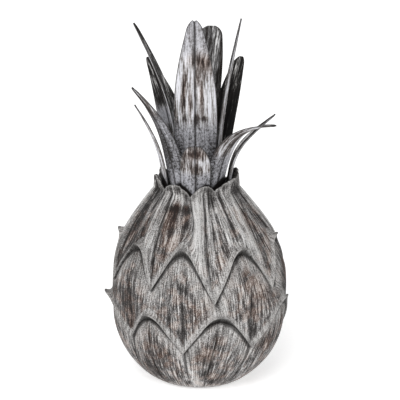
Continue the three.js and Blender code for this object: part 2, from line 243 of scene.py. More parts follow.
class Petals:  # one row of petals: where its lower and upper edges run, and its surface between them
    def __init__(self, place, low, high, pointMark=0, topRow=False):
        self.place, self.low, self.high, self.topRow = place, low, high, topRow
        shifted = place - pointMark / 2
        self.offset = shifted - np.round(shifted)

    def at(self, z, rim=False):  # at its very rim, a petal has no share of its pad and no flare
        b = body
        span = self.high["height"] - self.low["height"]
        along = 0 if rim else np.clip((z - self.low["height"]) / span, 0, 1)
        outline = outlineRadius(z)
        width = 2 * math.pi * outline / b["petals"]
        ownRim = np.maximum(0, z - self.low["height"]) * self.low["tilt"]
        fade = np.clip(z / b["reliefFade"], 0, 1)
        swell = b["padAtRim"] + (1 - b["padAtRim"]) * along
        pad = b["padRelief"] * np.cos(2 * math.pi * self.offset) * swell
        if rim:
            return outline + pad * fade
        flare = b["flare"] * np.clip(1 - ownRim / b["flareWidth"], 0, 1) ** 2 * self.low["rimmed"]
        if self.topRow:
            pad = pad * (1 - b["topRowPadLoss"] * along)
            relief, lines, raised = self.topRowRelief(along, width)
        else:
            relief, lines, raised = self.foldedRelief(along, width)
        radius = outline + (pad + flare + relief) * fade
        return {"radius": radius, "along": along, "ownRim": ownRim, "lines": lines, "raised": raised}

    def foldedRelief(self, along, width):
        b = body
        across = self.offset * width
        row = b["middleCrease"] if self.low["rimmed"] else b["lowestCrease"]
        deep = smooth(*row["from"], along) * (1 - row["loss"] * smooth(*row["fade"], along))
        lines = b["lineShare"] * np.exp(-(across / row["lineWidth"]) ** 2) * deep
        if not self.low["rimmed"]:  # the lowest petals part from each other below the points that cover them
            toParting = 0.5 * width - np.abs(across)
            parting = np.exp(-(toParting / b["partingWidth"]) ** 2)
            lines = lines + parting * smooth(*b["partingFrom"], along)
        fold = np.exp(-np.abs(across) / b["foldWidth"])
        crease = b["creaseDepth"] * np.exp(-(across / b["creaseWidth"]) ** 2)
        relief = -deep * (crease + b["foldDepth"] * fold) - b["lineRelief"] * lines
        return relief, lines, b["foldShade"] * fold * deep

    # A petal of the top row rises to a rounded ridge on the left of its crease and is hollow on its right
    def topRowRelief(self, along, width):
        b = body
        petal = np.floor(self.place + 0.5).astype(int)
        low, high = (1 - along) ** 2, along ** 2

        def ridgeStart(number):
            which = number % b["petals"]
            return np.array(ridgeAtRim)[which] * low + np.array(ridgeAtNeck)[which] * high

        left = ridgeStart(petal)
        span = 1 + ridgeStart(petal + 1) - left
        inside = (self.place + 0.5 - petal - left) / span
        creaseAt = (0.5 + np.array(creaseAtNeck)[petal % b["petals"]] * high - left) / span
        inside = inside % 1  # left of its ridge a petal is covered by the hollow half of the one before
        ridge = np.sin(math.pi * np.clip(inside / creaseAt, 0, 1)) ** b["ridgeFullness"]
        hollow = np.clip((inside - creaseAt) / (1 - creaseAt), 0, 1)
        hollow = np.sin(math.pi * hollow) ** b["hollowFullness"]
        begun = smooth(*b["topRowFrom"], along)
        ridge = ridge * begun * (1 - b["ridgeLoss"] * smooth(*b["ridgeFade"], along))
        hollow = hollow * begun * (1 - smooth(*b["hollowFade"], along))
        toCrease = (inside - creaseAt) * width * span
        toBorder = np.minimum(inside, 1 - inside) * width * span
        lines = np.exp(-(toCrease / b["lineWidth"]) ** 2)
        lines = lines + b["lineShare"] * np.exp(-(toBorder / b["lineWidth"]) ** 2)
        lines = lines * smooth(*b["lineFrom"], along) * (1 - smooth(*b["lineFade"], along))
        depth = np.array(hollowDepths)[petal % b["petals"]]
        sunk = b["topRowSunk"] * smooth(*b["sunkFrom"], along)  # so that the ridges don't widen the shoulders
        relief = b["ridge"] * ridge - depth * hollow - b["lineDepth"] * lines - sunk
        return relief, lines, ridge - 0.2 * hollow


def bodyTable():
    b = body
    place = np.arange(b["petals"] * b["columnsPerPetal"] + 1) / b["columnsPerPetal"]
    ones = np.ones_like(place)
    rows = []

    def addRow(radius, z, azimuth, **facts):
        row = {"radius": radius, "z": z, "azimuth": azimuth}
        row.update({"band": 0, "hollow": 0, "ridge": 0, "smoothPad": 0, "raised": 0, **facts})
        rows.append({name: ones * value for name, value in row.items()})

    def rimEdges(rim):
        z, rise = zigzag(rim, place)
        lift = rise ** b["hookRiseSharpness"]
        azimuth = halfPetals(rim["azimuths"], place, wrap=360)
        arch = np.floor(place + rim["sharpMark"] / 2).astype(int) % b["petals"]
        hook = np.array(rim["hooks"])[arch] * b["hookReach"]
        out = b["rimEdge"] + (b["archEdge"] - b["rimEdge"]) * lift + hook * rise ** b["hookSharpness"]
        edge = z + b["hookRise"] * lift
        root = z + b["rimRoot"] + b["hookRoot"] * lift
        tilt = edgeTilt(edge, outlineRadius(z), azimuth)
        return {"height": z, "edge": edge, "root": root, "lift": lift, "azimuth": azimuth,
                "out": out, "tilt": tilt, "rimmed": 1}

    def petalRows(petals, start, end, count, azimuths, bow, overTilt):
        grainX, grainY = grainCircle(place)
        covered = petals.high.get("lift", 0)
        shaded = b["shadeUnderPoint"] + (b["shadeUnderArch"] - b["shadeUnderPoint"]) * covered
        for t in np.linspace(0, 1, count):
            z = start + (end - start) * t
            azimuth = azimuths[0] * (1 - t) + azimuths[1] * t + bow * math.sin(math.pi * t ** 0.7)
            shape = petals.at(z)
            raised = shape["raised"]
            under = (petals.high["height"] - z) * overTilt  # how far below the rim above
            radius = shape["radius"] - b["coveredDepth"] * covered * np.exp(-(under / b["coveredRun"]) ** 2)
            if petals.topRow:
                under = b["farBelowRim"]  # no rim hangs over the top row
                pleat = noiseAt(grainX / b["pleatWidth"], grainY / b["pleatWidth"], z / b["pleatLength"])
                pleat = pleat * smooth(0, 0.5, shape["along"]) * 2
                radius = radius + b["pleat"] * pleat
                raised = raised + 0.9 * pleat
            band = 1 - smooth(*b["petalBand"], shape["ownRim"])
            # painted shade on the petal just under the rim above, narrower below an arch
            shade = 0.9 * (1 - smooth(shaded, shaded + b["shadeBlur"], under))
            addRow(
                radius, z, azimuth, raised=raised,
                band=np.maximum(band, 0.6 * raised * petals.topRow),
                hollow=np.maximum(shape["lines"], shade),
                ridge=0.3 * np.exp(-(shape["ownRim"] / b["rubWidth"]) ** 2),
                smoothPad=1 - smooth(*b["smoothUnderRim"], under),
            )

    def rimRows(rim, covered, petals):
        recessZ = rim["height"] + b["recessHeight"]
        recess = covered.at(recessZ)["radius"] - b["recessDepth"] - b["coveredDepth"] * rim["lift"]
        edge = petals.at(rim["edge"], rim=True) + rim["out"] - b["shownInside"]
        reach = edge - b["rimRound"] * b["undersideEnd"] - recess
        outBow, upBow = b["undersideBow"]
        for t in (0, 0.2, 0.4, 0.6, 0.8, 0.93):  # the underside, slightly hollow, painted dark as shade and wash
            r = recess + reach * t ** outBow
            z = recessZ + (rim["edge"] - recessZ) * t ** upBow
            addRow(r, z, rim["azimuth"], hollow=1 - 0.75 * t ** 3, band=1)
        archShade = 0.6 * smooth(0.9, 1, rim["lift"])
        for angle in (-25, 20, 60, 90):  # the rounded edge, painted shade on its lower part and at the arch tops
            turn = math.radians(angle)
            r = edge - b["rimRound"] + b["rimRound"] * math.cos(turn)
            z = rim["edge"] + b["rimRound"] * math.sin(turn)
            addRow(r, z, rim["azimuth"], band=1, ridge=0.7, hollow=np.maximum(0.5 * (angle < 0), archShade))
        top = (edge - b["rimRound"], rim["edge"] + b["rimRound"])
        blend = rim["root"] + b["rimBlend"] * (1 + rim["lift"])
        knee = petals.at(rim["root"])["radius"]
        foot = petals.at(blend)["radius"]
        for t in (0.15, 0.3, 0.45, 0.6, 0.75, 0.88):  # the top of the rim runs out into the petal
            r = top[0] * (1 - t) ** 2 + knee * 2 * t * (1 - t) + foot * t * t
            z = top[1] * (1 - t) ** 2 + rim["root"] * 2 * t * (1 - t) + blend * t * t
            ownRim = np.maximum(0, z - rim["height"]) * rim["tilt"]
            band = 1 - smooth(*b["archBand"], ownRim) * (1 - rim["lift"])
            addRow(r, z, rim["azimuth"], band=band, ridge=0.35 * np.exp(-(t / 0.3) ** 2))
        return blend

    lower, upper = rimEdges(lowerRim), rimEdges(upperRim)
    tipZ, tipRise = zigzag(collar, place)
    tipAzimuth = halfPetals(collar["azimuths"], place, wrap=360)
    footAzimuth = halfPetals(footAzimuths, place, wrap=360)
    foot = {"height": ones * 0.0, "tilt": ones, "rimmed": 0}
    neck = {"height": tipZ}
    recessLower = {"height": lower["height"] + b["recessHeight"], "lift": lower["lift"]}
    recessUpper = {"height": upper["height"] + b["recessHeight"], "lift": upper["lift"]}
    lowest = Petals(place, foot, recessLower)
    middle = Petals(place, lower, recessUpper, pointMark=1)
    highest = Petals(place, upper, neck, topRow=True)

    for share in (0, 0.5, 0.96):  # the flat underside
        addRow(b["baseRadius"] * share, 0, footAzimuth, smoothPad=1)
    blend = ones * b["footRise"]
    azimuths = footAzimuth, lower["azimuth"]
    petalRows(lowest, blend, recessLower["height"], b["lowerRings"], azimuths, 0, lower["tilt"])
    blend = rimRows(lower, lowest, middle)
    azimuths = lower["azimuth"], upper["azimuth"]
    petalRows(middle, blend, recessUpper["height"], b["lowerRings"], azimuths, 0, upper["tilt"])
    blend = rimRows(upper, middle, highest)
    tipStart = tipZ - b["collarRound"]
    bow = halfPetals(bows, place, ease=lambda t: t * t * (3 - 2 * t))
    before = len(rows)
    petalRows(highest, blend, tipStart, b["topRings"], (upper["azimuth"], tipAzimuth), bow, ones)

    # the petal tips curl out round the neck, with a thin rubbed rim and a dark line painted a little below it
    curl = b["collarCurl"] * tipRise ** 2
    for row in rows[before:]:
        below = tipStart - row["z"]
        collarLine = 0.4 * np.exp(-((below - b["collarLineBelow"]) / b["collarLineWidth"]) ** 2)
        rub = 0.5 * np.exp(-(below / b["collarRubWidth"]) ** 2)
        row["radius"] = row["radius"] + curl * np.exp(-(below / b["collarCurlRun"]) ** 2)
        row["hollow"] = np.maximum(row["hollow"], collarLine)
        row["ridge"] = np.maximum(row["ridge"], rub)
    outer = rows[-1]["radius"]
    # the rounded top of the collar, its inner half painted dark as shade
    for angle in (30, 60, 90, 120, 150, 180):
        turn = math.radians(angle)
        r = outer - b["collarRound"] * (1 - math.cos(turn))
        facts = {"ridge": 0.4} if angle < 90 else {"hollow": 0.9}
        addRow(r, tipStart + b["collarRound"] * math.sin(turn), tipAzimuth, band=1, **facts)
    for t in (0.25, 0.5, 0.75, 1):  # down the inside to the seat of the leaves, painted darker as shade the deeper it goes
        r = (outer - 2 * b["collarRound"]) * (1 - t) + b["seatRadius"] * t
        z = tipStart * (1 - t) + b["seatHeight"] * t
        addRow(r, z, tipAzimuth, hollow=min(1, 0.3 + t), band=1)
    # the seat of the leaves, painted dark as shade
    for share in (0.5, 0):
        addRow(b["seatRadius"] * share, b["seatHeight"], tipAzimuth, hollow=1, band=1)
    return place, tableOf(rows)


def buildBody():
    b = body
    place, table = bodyTable()
    radius, z, azimuth, raised = (table[name] for name in ("radius", "z", "azimuth", "raised"))
    turn = np.radians(azimuth)
    lean = b["neckShift"] * smooth(b["bellyHeight"], b["neckHeight"], z)
    points = np.stack([radius * np.sin(turn) + lean, -radius * np.cos(turn), z], axis=2)
    points[:, -1] = points[:, 0]
    steps = np.hypot(np.diff(radius, axis=0), np.diff(z, axis=0))
    run = np.vstack([np.zeros(len(place)), np.cumsum(steps, axis=0)])
    grain = np.stack(np.broadcast_arrays(*grainCircle(place), run), axis=2)
    stain = np.zeros_like(z)
    # paler on raised relief, darker in the folds, and painted shade falling on the neck
    lift = 0.8 * raised - 0.8 * smooth(*b["shadedNeck"], z)
    greyNeck = 0.8 * smooth(*b["greyNeck"], z)
    grey = np.maximum(greyNeck, 0.6 * np.clip(raised, 0, 1) * smooth(*b["greyRidges"], z))
    # brown share is stain; lighter or darker is tone, and also painted shade on the flanks and under the
    # front lip
    for patchAzimuth, patchZ, halfWidth, halfHeight, brown, lighter in bodyPatches:
        away = np.radians((azimuth - patchAzimuth + 180) % 360 - 180) * radius
        share = np.exp(-(away / halfWidth) ** 2 - ((z - patchZ) / halfHeight) ** 2)
        stain = np.maximum(stain, share * brown)
        lift = lift + share * lighter
    strong = b["strongStain"]
    stain = np.where(stain > strong, stain, stain - grey * (1 - stain / strong))
    facts = {"grain": grain, "stain": stain, "lift": lift}
    facts.update({name: table[name] for name in ("band", "hollow", "ridge", "smoothPad")})
    return bentGrid("pineapple_body_carved", points, facts)


print("carving the body")
carvedBody = buildBody()
print("body faces", len(carvedBody.data.polygons))

# The crown: lengths in mm. A leaf is creased down the middle, cupped inwards and rounded off over the
# last share of its length; rings crowd towards its tip and points towards its edges.
crown = {
    "height": 218, "thickness": 1.5, "seatRadius": body["seatRadius"],
    "footHeight": body["seatHeight"] + 0.3,  # just clear of the seat
    "footRadii": {"short": 40, "middle": 33, "tall": 26},
    "fold": 0.1, "cup": 0.18, "crease": 1.0, "creaseWidth": 1.3, "tipRound": 0.045, "tipRoundness": 0.85,
    "stations": 90, "acrossCount": 34, "tipCrowding": 0.35, "edgeCrowding": 0.85, "edgeRound": 12,
    "notchWidth": 1.2, "notchFrom": 0.97, "chalkyTipFrom": (0.80, 0.88), "footChalk": 0.85,
    "footBlur": (0.06, 0.05),  # how far below and above the end of the speckled foot it fades
    "creviceFrom": -1, "creviceTo": 2.5,  # how high over the collar's tips the painted shade and dark wash of the crevice reach
    "leafToLeaf": 37, "faceToFace": 15,  # how far the brush grain moves on between leaves and faces
}
# Reach, rise and sway are shares of the crown's height, widths are shares of the seat's radius, and the
# lean of its foot and of its tip is in degrees from upright.
# Each leaf's foot is speckled up to a share of its length, its inner face is darker by a share, and its
# patches are: across, along, half width, half length, brown share, lighter or darker.
# Dark patches at a foot's sides are painted shade where leaves meet.
leaves = {
    "tall_leaf_front": {
        "whorl": "tall", "azimuth": -3.5, "reach": 0.023, "rise": 1, "lean": (3, 2), "straight": 0.4,
        "sway": -0.005, "widths": (0.76, 1.18, 0.31), "widestAt": 0.38, "taper": 1.4,
        "notch": 1.4, "foot": 0.42, "darkInside": 0.9, "chalkyTip": 0.6,
        "patches": [
            (0.55, 0.79, 0.6, 0.07, 1.0, -0.5), (-0.3, 0.80, 0.3, 0.04, 0.6, -0.2),
            # the dark patches at the foot's two sides are painted shade where the front leaves meet it
            (0, 0.93, 1.4, 0.06, 0.3, 0.2), (-0.9, 0.16, 0.4, 0.16, 0, -2.4),
            (0.9, 0.16, 0.4, 0.16, 0, -2.4), (0.05, 0.44, 0.12, 0.03, 0, -2.2),
            (-0.5, 0.45, 0.09, 0.02, 0, -1.8), (0.4, 0.45, 0.16, 0.014, 0, -1.8),
            (-0.3, 0.62, 0.9, 0.15, 0, 0.7), (0.7, 0.58, 0.35, 0.14, 0, 0.7),
            (0.3, 0.60, 0.14, 0.12, 1.0, -1.0), (-0.55, 0.62, 0.12, 0.12, 1.0, -1.2),
            (-0.25, 0.55, 0.08, 0.10, 0.9, -0.8), (0.1, 0.7, 0.2, 0.06, 0.7, -0.5),
        ],
    },
    "tall_leaf_right": {
        "whorl": "tall", "azimuth": 90, "reach": 0.128, "rise": 0.991, "lean": (2, 11), "straight": 0.4,
        "sway": 0, "widths": (0.62, 0.76, 0.2), "widestAt": 0.3, "taper": 1.2,
        "foot": 0.2, "darkInside": 0.9, "patches": [],
    },
    "tall_leaf_back": {
        "whorl": "tall", "azimuth": 172, "reach": 0.023, "rise": 0.936, "lean": (2, 4), "straight": 0.4,
        "sway": -0.064, "widths": (0.62, 0.93, 0.58), "widestAt": 0.45, "taper": 2.1,
        "foot": 0.2, "darkInside": 0.75,
        "patches": [
            (0, 0.9, 1.2, 0.3, 0, 0.45), (0.45, 0.8, 0.24, 0.3, 0, -1.6), (-0.95, 0.8, 0.15, 0.4, 0, -1.3),
        ],
    },
    "tall_leaf_left": {
        "whorl": "tall", "azimuth": -100, "reach": 0.239, "rise": 0.959, "lean": (-4, 27), "straight": 0.4,
        "sway": 0, "widths": (0.62, 0.71, 0.2), "widestAt": 0.3, "taper": 1.2,
        "foot": 0.2, "darkInside": 0.9, "patches": [(0, 0.40, 1.2, 0.06, 0, 1.6)], "pale": (0, 0.40, 1.2, 0.06),
    },
    "middle_leaf_front_right": {
        "whorl": "middle", "azimuth": 45, "reach": 0.44, "rise": 0.472, "lean": (6, 82), "straight": 0.45,
        "sway": 0, "widths": (0.62, 0.8, 0.2), "widestAt": 0.33, "taper": 1,
        "foot": 0.36, "darkInside": 0.9,
        "patches": [
            # the first, dark at the foot, is painted shade beside the tall front leaf
            (-0.85, 0.16, 0.3, 0.16, 0, -2.4), (-0.1, 0.45, 0.35, 0.3, 0, -1.0),
            (-0.9, 0.4, 0.3, 0.35, 0, -0.5), (0.5, 0.5, 0.4, 0.5, 0, 0.3),
        ],
    },
    "middle_leaf_back_right": {
        "whorl": "middle", "azimuth": 135, "reach": 0.211, "rise": 0.743, "lean": (13, 23), "straight": 0.4,
        "sway": 0, "widths": (0.62, 0.82, 0.31), "widestAt": 0.5, "taper": 1.5,
        "foot": 0.1, "darkInside": 1.0, "patches": [(0, 0.4, 2, 0.45, 0, -1.0), (0.4, 0.95, 0.5, 0.12, 0, 0.9)],
    },
    "middle_leaf_back_left": {
        "whorl": "middle", "azimuth": -135, "reach": 0.252, "rise": 0.734, "lean": (9, 33), "straight": 0.4,
        "sway": 0, "widths": (0.62, 0.96, 0.18), "widestAt": 0.42, "taper": 1.1,
        "foot": 0.2, "darkInside": 0.95, "patches": [(0, 0.55, 1.2, 0.08, 0, 1.6)], "pale": (0, 0.55, 1.2, 0.08),
    },
    "middle_leaf_front_left": {
        "whorl": "middle", "azimuth": -45, "reach": 0.337, "rise": 0.665, "lean": (10, 46), "straight": 0.42,
        "sway": 0, "widths": (0.64, 0.73, 0.13), "widestAt": 0.2, "taper": 0.8,
        "foot": 0.72, "darkInside": 0.9,
        "patches": [
            # the first, dark at the foot, is painted shade beside the tall front leaf
            (0.85, 0.16, 0.3, 0.16, 0, -2.4), (-0.5, 0.45, 0.5, 0.35, 0, -2.6),
            (0.1, 0.34, 0.25, 0.12, 0, -2.2), (0, 0.5, 2, 0.4, 0, -0.7), (0.2, 0.12, 0.7, 0.08, 0, 1.8),
        ],
    },
    "short_leaf_front": {
        "whorl": "short", "azimuth": -2, "reach": 0.202, "rise": 0.353, "lean": (8, 44), "straight": 0.4,
        "sway": 0, "widths": (0.67, 0.82, 0.31), "widestAt": 0.4, "taper": 1.5,
        "foot": 0.42, "darkInside": 0.9,
        "patches": [
            (0.1, 0.84, 1.3, 0.14, 1.0, -0.9), (-0.7, 0.93, 0.5, 0.06, 0.0, 0.9),
            (0.05, 0.5, 0.2, 0.18, 1.0, -1.6), (-0.7, 0.55, 0.5, 0.12, 0.3, -0.2),
            (0.75, 0.55, 0.35, 0.12, 0.3, -0.2),
        ],
    },
    "short_leaf_right": {
        "whorl": "short", "azimuth": 91, "reach": 0.257, "rise": 0.454, "lean": (4, 49), "straight": 0.48,
        "sway": 0, "widths": (0.62, 0.64, 0.13), "widestAt": 0.3, "taper": 1.1,
        "foot": 0.2, "darkInside": 0.9, "patches": [],
    },
    "short_leaf_back": {
        "whorl": "short", "azimuth": 178, "reach": 0.202, "rise": 0.394, "lean": (6, 42), "straight": 0.4,
        "sway": 0, "widths": (0.62, 0.71, 0.18), "widestAt": 0.35, "taper": 1.1,
        "foot": 0.2, "darkInside": 0.9, "patches": [],
    },
    "short_leaf_left": {
        "whorl": "short", "azimuth": -82, "reach": 0.168, "rise": 0.518, "lean": (5, 32), "straight": 0.4,
        "sway": 0, "widths": (0.62, 0.69, 0.13), "widestAt": 0.3, "taper": 1.1,
        "foot": 0.2, "darkInside": 0.9, "patches": [],
    },
}

collarPlace = np.arange(body["petals"] * body["columnsPerPetal"]) / body["columnsPerPetal"]
collarAzimuths = halfPetals(collar["azimuths"], collarPlace, wrap=360) % 360
collarHeights = zigzag(collar, collarPlace)[0]


# A leaf's centre line, out from the axis and up, and its direction, which is upright at the level foot
def leafCurve(controls, along):
    foot, rising, falling, tip = controls
    rest = 1 - along
    centre = rest ** 3 * foot + 3 * rest * rest * along * rising + 3 * rest * along ** 2 * falling
    centre = centre + along ** 3 * tip
    slope = rest * rest * (rising - foot) + 2 * rest * along * (falling - rising)
    slope = slope + along ** 2 * (tip - falling)
    return centre, slope / np.linalg.norm(slope) if along > 0 else np.array([0.0, 1.0])


def leafWidth(leaf, along):
    footWidth, width, tipWidth = (share * crown["seatRadius"] for share in leaf["widths"])
    if along < leaf["widestAt"]:
        wide = footWidth + (width - footWidth) * math.sin(along / leaf["widestAt"] * math.pi / 2)
    else:
        past = (along - leaf["widestAt"]) / (1 - leaf["widestAt"])
        wide = tipWidth + (width - tipWidth) * math.cos(past ** leaf["taper"] * math.pi / 2)
    intoTip = max(0, (along - 1 + crown["tipRound"]) / crown["tipRound"])
    return wide * math.sqrt(1 - crown["tipRoundness"] * intoTip ** 2)


def leafFinish(leaf, across, along, distance, face, ring):  # what the paint needs to know at each point
    c = crown
    paleAcross, paleAlong, halfPaleAcross, halfPaleAlong = leaf.get("pale", (0, 0, 1, 0.001))
    pale = np.exp(-((across - paleAcross) / halfPaleAcross) ** 4 - ((along - paleAlong) / halfPaleAlong) ** 4)
    tipChalk = smooth(*c["chalkyTipFrom"], along) * leaf.get("chalkyTip", 0)
    below, above = c["footBlur"]
    footChalk = c["footChalk"] * (1 - smooth(leaf["foot"] - below, leaf["foot"] + above, along))
    azimuth = np.degrees(np.arctan2(ring[:, 0], -ring[:, 1])) % 360
    overCollar = ring[:, 2] - np.interp(azimuth, collarAzimuths, collarHeights, period=360)
    stain, lighter = np.zeros_like(distance), np.zeros_like(distance)
    # darker patches at some feet are painted shade where leaves meet
    for patchAcross, patchAlong, halfAcross, halfAlong, brown, lift in leaf["patches"]:
        share = np.exp(-((across - patchAcross) / halfAcross) ** 2 - ((along - patchAlong) / halfAlong) ** 2)
        stain, lighter = np.maximum(stain, share * brown), lighter + share * lift
    return {
        "chalk": np.maximum(max(tipChalk, footChalk), pale),
        # painted shade and dark wash on the leaf's foot just above the collar's rim
        "crevice": 1 - smooth(c["creviceFrom"], c["creviceTo"], overCollar),
        "inner": (1 - face) / 2 * leaf["darkInside"] * (1 - pale),
        "crease": np.exp(-(distance / c["creaseWidth"]) ** 2),
        "stain": stain, "lift": lighter,
    }


def buildLeaf(name, leaf, seed):
    c = crown
    turn = math.radians(leaf["azimuth"])
    outward = np.array([math.sin(turn), -math.cos(turn), 0])
    sideways = np.array([math.cos(turn), math.sin(turn), 0])
    foot = np.array([c["footRadii"][leaf["whorl"]], c["footHeight"]])
    tip = foot + np.array([leaf["reach"], leaf["rise"]]) * c["height"]
    handle = np.linalg.norm(tip - foot) * leaf["straight"]
    leans = [math.radians(angle) for angle in leaf["lean"]]
    footLean, tipLean = (np.array([math.sin(lean), math.cos(lean)]) * handle for lean in leans)
    controls = [foot, foot + footLean, tip - tipLean, tip]

    # round the section: the outer face from left to right, then the inner face back
    loop = np.linspace(0, 2, 2 * c["acrossCount"] + 1)
    across = np.where(loop < 1, -1 + 2 * loop, 3 - 2 * loop)
    face = np.where(loop < 1, 1.0, -1.0)
    across = np.sign(across) * np.abs(across) ** c["edgeCrowding"]
    stations = np.linspace(0, 1, c["stations"])
    crowded = np.sin(stations * math.pi / 2)
    stations = (1 - c["tipCrowding"]) * stations + c["tipCrowding"] * crowded
    rings, facts = [], []
    run = 0
    last = foot
    for along, thick in [(0, 0.0), *[(station, 1.0) for station in stations], (1, 0.0)]:
        centre, slope = leafCurve(controls, along)
        run += np.linalg.norm(centre - last)
        last = centre
        wide = leafWidth(leaf, along)
        distance = across * wide / 2
        cup = (c["fold"] + c["cup"] * np.abs(across)) * np.abs(distance)
        crease = c["crease"] * np.exp(-(distance / c["creaseWidth"]) ** 2)
        halfThick = thick * c["thickness"] / 2 * np.sqrt(1 - np.abs(across) ** c["edgeRound"])
        normal = outward * slope[1] - np.array([0, 0, slope[0]])
        forward = outward * slope[0] + np.array([0, 0, slope[1]])
        middle = outward * centre[0] + np.array([body["neckShift"], 0, centre[1]])
        middle = middle + sideways * leaf["sway"] * c["height"] * along ** 2
        rise = face * halfThick - cup - crease
        notch = leaf.get("notch", 0) * np.exp(-(distance / c["notchWidth"]) ** 2)
        notch = notch * smooth(c["notchFrom"], 1, along)
        ring = middle + np.outer(distance, sideways) + np.outer(rise, normal) - np.outer(notch, forward)
        rings.append(ring)
        grain = [distance + seed * c["leafToLeaf"], face * c["faceToFace"], np.full_like(distance, run)]
        facts.append({
            "grain": np.stack(grain, axis=1), "edge": (1 - np.abs(across)) * wide / 2,
            **leafFinish(leaf, across, along, distance, face, ring),
        })
    points = np.array(rings)
    points[:, -1] = points[:, 0]
    return bentGrid(name + "_creased", points, tableOf(facts))


print("creasing the leaves")
creasedLeaves = {}
for number, (name, leaf) in enumerate(leaves.items()):
    creasedLeaves[name] = buildLeaf(name, leaf, number + 1)
print("leaf faces", sum(len(leaf.data.polygons) for leaf in creasedLeaves.values()))


def attributes(tree, *names):
    return {name: addNode(tree, "Attribute", attribute_name=name).outputs["Fac"] for name in names}


# Noise whose marks have this size, in the coordinates' own units: mm for the grain, metres for the object
def brushNoise(tree, coordinates, size, detail, roughness=0.6, distortion=0.0):
    at = addNode(tree, "Mapping", {"Vector": coordinates, "Scale": [1 / length for length in size]})
    looks = {"Detail": detail, "Roughness": roughness, "Distortion": distortion}
    return addNode(tree, "TexNoise", {"Vector": at, "Scale": 1.0, **looks}).outputs[0]


def mix(tree, *shares, base=0.0):  # each value times its share, added up
    for value, share in shares:
        base = addNode(tree, "Math", {0: value, 1: share, 2: base}, operation="MULTIPLY_ADD")
    return base


def overlay(tree, share, under, over):
    return addNode(tree, "Mix", {0: share, 6: under, 7: over}, data_type="RGBA")


def startMaterial(name):
    material = bpy.data.materials.new(name)
    material.use_nodes = True
    return material, material.node_tree


def finishMaterial(tree, colour, height, look):
    shader = tree.nodes["Principled BSDF"]
    shader.inputs["Roughness"].default_value = look["roughness"]
    shader.inputs["Specular IOR Level"].default_value = look["specular"]
    relief = {"Strength": look["bumpShare"], "Distance": look["bumpHeight"] * mm, "Height": height}
    tree.links.new(colour.outputs[2], shader.inputs["Base Color"])
    tree.links.new(addNode(tree, "Bump", relief).outputs[0], shader.inputs["Normal"])


# Cast resin, dry-brushed with lime wash over grey-brown: chalky streaks that follow the petals,
# dark wash left in the hollows with painted shade under the rims and inside the collar, pale rubbed edges
resin = {
    # brush strokes by width, depth and length, blotches and grit by their size, all in mm
    "strokes": (1.1, 1.1, 18), "wideStrokes": (3.0, 3.0, 30), "blotch": 11, "grit": 1.2,
    # how much each of them counts in the tone, and how much a step lighter does
    "strokesShare": 0.35, "wideShare": 0.19, "blotchShare": 0.19, "gritShare": 0.27, "liftShare": 0.045,
    "greys": [(0.42, "#292726"), (0.47, "#4f4c4b"), (0.50, "#777473"), (0.53, "#a19f9e"), (0.58, "#dcdbda")],
    "browns": [
        (0.42, "#261d1a"), (0.47, "#493a34"), (0.505, "#6b5c55"), (0.54, "#91857e"), (0.59, "#c8c0bb"),
    ],
    "brownBlotches": (0.48, 0.58), "brownestBlotch": 0.75, "leastStain": 0.45,
    # the speckled chalk on the bands and on the smooth strips under the rims
    "chalks": [(0.52, "#504d4b"), (0.56, "#827f7d"), (0.60, "#a9a7a5"), (0.67, "#cecdcc")],
    "chalkBase": 0.2, "chalkGrit": 0.45, "chalkStrokes": 0.35, "chalkLift": 0.03,
    "bandShare": 0.85, "padShare": 0.6,
    # the dark wash colour is also painted shade under the rims, at the arch tops and inside the collar
    "rubbed": "#a9a7a5", "rubShare": 0.5, "wash": "#1a1715", "washAndShadeShare": 0.9,
    "roughness": 0.8, "specular": 0.25, "bumpShare": 0.9, "bumpHeight": 1.6,
}


